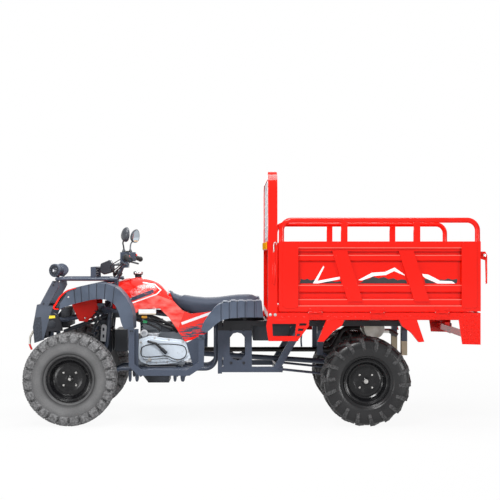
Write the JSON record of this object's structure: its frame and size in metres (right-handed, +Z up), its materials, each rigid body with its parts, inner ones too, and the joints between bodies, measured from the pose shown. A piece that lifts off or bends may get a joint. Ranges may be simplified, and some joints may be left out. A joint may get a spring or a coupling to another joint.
{
  "type": "quad bike with cargo bed",
  "caption": "Farm quad bike with a tipping cargo bed behind the seat, drop sides and a tailgate.",
  "frame": {"origin": "on the floor under the middle of the vehicle's bounding box", "axes": "+X to the rear, +Y to the rider's right, +Z up; the tyres stand on Z = 0"},
  "size_m": [2.9098, 1.226, 1.58],
  "materials": {
    "tyre": "matt, worn tread",
    "rim": "gloss black paint",
    "frame_paint": "satin black paint",
    "black_plastic": "fine grain",
    "red_plastic": "gloss",
    "red_paint": "gloss orange-red paint",
    "vinyl": "vinyl cover over foam",
    "grip": "ribbed",
    "alloy": "cast",
    "steel": "satin",
    "spring_paint": "satin",
    "lamp": "satin black cases"
  },
  "bodies": {
    "chassis": {"battery_box": "black_plastic", "belt_case": "alloy", "body_cover": "red_plastic", "drive_links": "frame_paint", "engine": "alloy", "exhaust": "steel", "footrests": "frame_paint", "front_arms": "frame_paint", "front_bumper": "frame_paint", "front_cowl": "red_plastic", "front_fender_left": "black_plastic", "front_fender_right": "black_plastic", "front_rack": "frame_paint", "front_shocks": "spring_paint", "fuel_cap": "black_plastic", "headlamps": "lamp", "leaf_springs": "frame_paint", "load_frame": "frame_paint", "main_frame": "frame_paint", "radiator": "alloy", "rear_axle": "frame_paint", "rear_fenders": "black_plastic", "seat": "vinyl", "skid_plate": "frame_paint", "winch": "black_plastic", "winch_hook": "steel"},
    "steering": {"handlebar": "frame_paint", "grips": "grip", "instrument": "black_plastic", "mirrors": "black_plastic"},
    "knuckle_left": {"knuckle_left": "frame_paint"},
    "knuckle_right": {"knuckle_right": "frame_paint"},
    "tie_rod_left": {"tie_rod_left": "frame_paint"},
    "tie_rod_right": {"tie_rod_right": "frame_paint"},
    "wheel_front_left": {"tyre_front_left": "tyre", "rim_front_left": "rim"},
    "wheel_front_right": {"tyre_front_right": "tyre", "rim_front_right": "rim"},
    "wheel_rear_left": {"tyre_rear_left": "tyre", "rim_rear_left": "rim"},
    "wheel_rear_right": {"tyre_rear_right": "tyre", "rim_rear_right": "rim"},
    "bed": {"bed_base": "red_paint", "headboard": "red_paint", "headboard_grille": "steel", "bed_guards": "red_paint", "side_steps": "red_paint", "tail_guards": "red_paint"},
    "drop_side_left": {"drop_side_left": "red_paint"},
    "drop_side_right": {"drop_side_right": "red_paint"},
    "tailgate": {"tailgate": "red_paint"}
  },
  "joints": [
    {"name": "steering", "type": "hinge", "parent": "chassis", "child": "steering", "pos_m": [-1.103, 0, 0.332], "axis": [0.3811, 0, 0.9245], "range_deg": [-30, 30]},
    {"name": "kingpin_left", "type": "hinge", "parent": "chassis", "child": "knuckle_left", "pos_m": [-1.118, -0.366, 0.29124], "axis": [0, 0, 1], "range_deg": [-30, 30]},
    {"name": "tie_rod_eye_left", "type": "hinge", "parent": "knuckle_left", "child": "tie_rod_left", "pos_m": [-1.18, -0.364, 0.30723], "axis": [0, 0, 1], "range_deg": [-30, 30]},
    {"name": "wheel_front_left_spin", "type": "hinge", "parent": "knuckle_left", "child": "wheel_front_left", "pos_m": [-1.118, -0.45, 0.29124], "axis": [0, 1, 0], "continuous": true},
    {"name": "wheel_rear_left_spin", "type": "hinge", "parent": "chassis", "child": "wheel_rear_left", "pos_m": [0.721, -0.43, 0.27821], "axis": [0, 1, 0], "continuous": true},
    {"name": "kingpin_right", "type": "hinge", "parent": "chassis", "child": "knuckle_right", "pos_m": [-1.118, 0.366, 0.29124], "axis": [0, 0, 1], "range_deg": [-30, 30]},
    {"name": "tie_rod_eye_right", "type": "hinge", "parent": "knuckle_right", "child": "tie_rod_right", "pos_m": [-1.18, 0.364, 0.30723], "axis": [0, 0, 1], "range_deg": [-30, 30]},
    {"name": "wheel_front_right_spin", "type": "hinge", "parent": "knuckle_right", "child": "wheel_front_right", "pos_m": [-1.118, 0.45, 0.29124], "axis": [0, 1, 0], "continuous": true},
    {"name": "wheel_rear_right_spin", "type": "hinge", "parent": "chassis", "child": "wheel_rear_right", "pos_m": [0.721, 0.43, 0.27821], "axis": [0, 1, 0], "continuous": true},
    {"name": "bed_tip", "type": "hinge", "parent": "chassis", "child": "bed", "pos_m": [1.035, 0, 0.624], "axis": [0, 1, 0], "range_deg": [0, 45]},
    {"name": "drop_side_left_hinge", "type": "hinge", "parent": "bed", "child": "drop_side_left", "pos_m": [0.776, -0.607, 0.712], "axis": [1, 0, 0], "range_deg": [0, 175]},
    {"name": "drop_side_right_hinge", "type": "hinge", "parent": "bed", "child": "drop_side_right", "pos_m": [0.776, 0.607, 0.712], "axis": [-1, 0, 0], "range_deg": [0, 175]},
    {"name": "tailgate_hinge", "type": "hinge", "parent": "bed", "child": "tailgate", "pos_m": [1.418, 0, 0.712], "axis": [0, 1, 0], "range_deg": [0, 175]}
  ],
  "couplings": [
    {"joint": "kingpin_left", "follows": "steering", "ratio": 1},
    {"joint": "tie_rod_eye_left", "follows": "steering", "ratio": -1},
    {"joint": "kingpin_right", "follows": "steering", "ratio": 1},
    {"joint": "tie_rod_eye_right", "follows": "steering", "ratio": -1}
  ]
}
